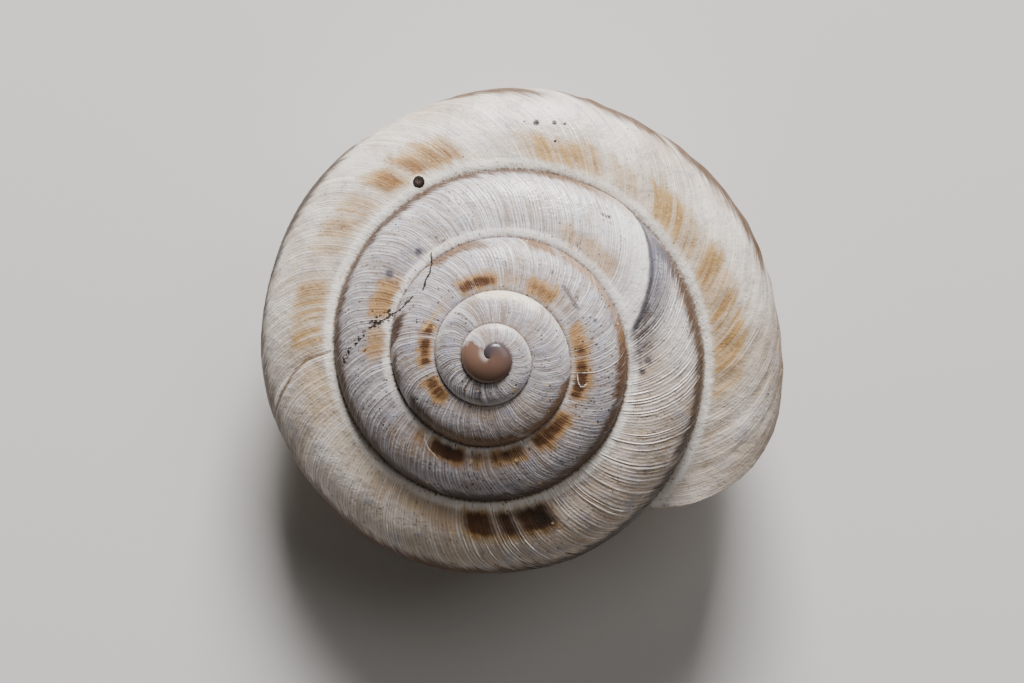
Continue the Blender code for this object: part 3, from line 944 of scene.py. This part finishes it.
# The underside, with two faint threads, and the walls of the mouth, which the photo doesn't show.
BASE_LIME, BASE_THREAD = (0.62, 0.53, 0.44), (0.22, 0.12, 0.06)
WALL_GROOVE, WALL_RIB, WALL_BAND = (0.55, 0.44, 0.35), (0.68, 0.60, 0.52), (0.20, 0.11, 0.06)
base = place.ease(1.05, 1.25) * (1 - is_inside)
lime = look.mix(lime, look.mix(lime, BASE_LIME, 0.6), base)
for at, strength in ((1.20, 0.5), (1.36, 0.35)):
    thread = (place - at + (jag - 0.5) * 0.03).size().ease(0.028, 0.010) * base
    lime = look.mix(lime, BASE_THREAD, thread * (jag + (streak - 0.5)).ease(0.35, 0.6) * strength)
room = look.mix(WALL_GROOVE, WALL_RIB, rib_tone)
room = look.mix(room, WALL_BAND, (place - 0.92).size().ease(0.12, 0.05) * 0.5)
lime = look.mix(lime, room, is_inside)

# Finish: dull lime, glossier on the ribs, in the mouth and before the break, and a polished tip.
TIP_ROUGHNESS = 0.24
rough = 0.43 - rib_tone * 0.12 + (grain - 0.5) * 0.15 + seam * 0.3 - is_inside * 0.12 - shine * 0.14
rough = look.node("ShaderNodeMapRange", {}, {"Value": tip, "To Min": rough, "To Max": TIP_ROUGHNESS})
height = (grain - 0.5) * 0.012 + (blotch - 0.5) * 0.05
height = height * growth.ease(TIP_END - 0.02, TIP_END + 0.05)
bumps = look.node("ShaderNodeBump", {}, {"Height": height, "Distance": MM, "Strength": 1.0})
material = look.finish(Base_Color=lime, Roughness=rough, Normal=bumps, Specular_IOR_Level=0.38)
shell.data.materials.append(material)
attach(shell, "root")
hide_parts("shell")

# The floor: a flat sheet of plain pale paper on which the shell rests. It is of the studio, and no
# part of the shell.
FLOOR_SIZE = 0.6
bpy.ops.object.select_all(action="DESELECT")
bpy.ops.mesh.primitive_plane_add(size=FLOOR_SIZE)
floor = bpy.context.object
floor.name = "floor"
floor.data.materials.append(Look("paper").finish(Base_Color=(0.50, 0.48, 0.46, 1), Roughness=0.9))

# The light: a soft key lamp beyond the shell's upper side, as the photo's shading has it, a weak
# fill from the right, and a dim warm room around them.
LIT_POINT = Vector((0, 0, 0.004))
LAMPS = (  # name, place, size, power in watts
    ("key", (0.01, 0.27, 0.168), 0.14, 3.55), ("fill", (0.15, 0.10, 0.28), 0.20, 0.25))
for name, place, size, power in LAMPS:
    light = bpy.data.objects.new(name, bpy.data.lights.new(name, "AREA"))
    light.data.energy, light.data.size = power, size
    light.location = place
    light.rotation_euler = (LIT_POINT - light.location).to_track_quat("-Z", "Y").to_euler()
    bpy.context.scene.collection.objects.link(light)

world = bpy.data.worlds.new("studio")
bpy.context.scene.world = world
world.use_nodes = True
surround = world.node_tree.nodes["Background"].inputs
surround["Color"].default_value = (1.0, 0.96, 0.92, 1)
surround["Strength"].default_value = 0.10

# The camera: a long lens that looks down on the apex, a little off the coil's axis, and is placed
# so that the apex falls on the pixel where the photo has it. PIXEL is a pixel's width there in mm.
PIXEL = 0.0324
PICTURE_WIDTH, PICTURE_HEIGHT = 1024, 683
APEX_X, APEX_Y = 490, 358
DISTANCE = 185.0
SENSOR = 36.0
VIEW_LEAN = math.radians(5.13)
VIEW_LEAN_TOWARDS = math.radians(204)


def leaned(angle, towards):
    return Matrix.Rotation(angle, 3, Vector((-math.sin(towards), math.cos(towards), 0)))


camera = bpy.data.objects.new("camera", bpy.data.cameras.new("camera"))
bpy.context.scene.collection.objects.link(camera)
turned = leaned(LEAN, LEAN_TOWARDS) @ leaned(VIEW_LEAN, VIEW_LEAN_TOWARDS).inverted()
right, up = (PICTURE_WIDTH / 2 - APEX_X) * PIXEL, (APEX_Y - PICTURE_HEIGHT / 2) * PIXEL
offset = turned @ Vector((right, up, DISTANCE)) * MM
camera.matrix_world = Matrix.Translation(mesh.vertices[apex].co + offset) @ turned.to_4x4()
camera.data.sensor_width = SENSOR
camera.data.lens = SENSOR * DISTANCE / PIXEL / PICTURE_WIDTH
camera.data.clip_start = 0.01
bpy.context.scene.camera = camera
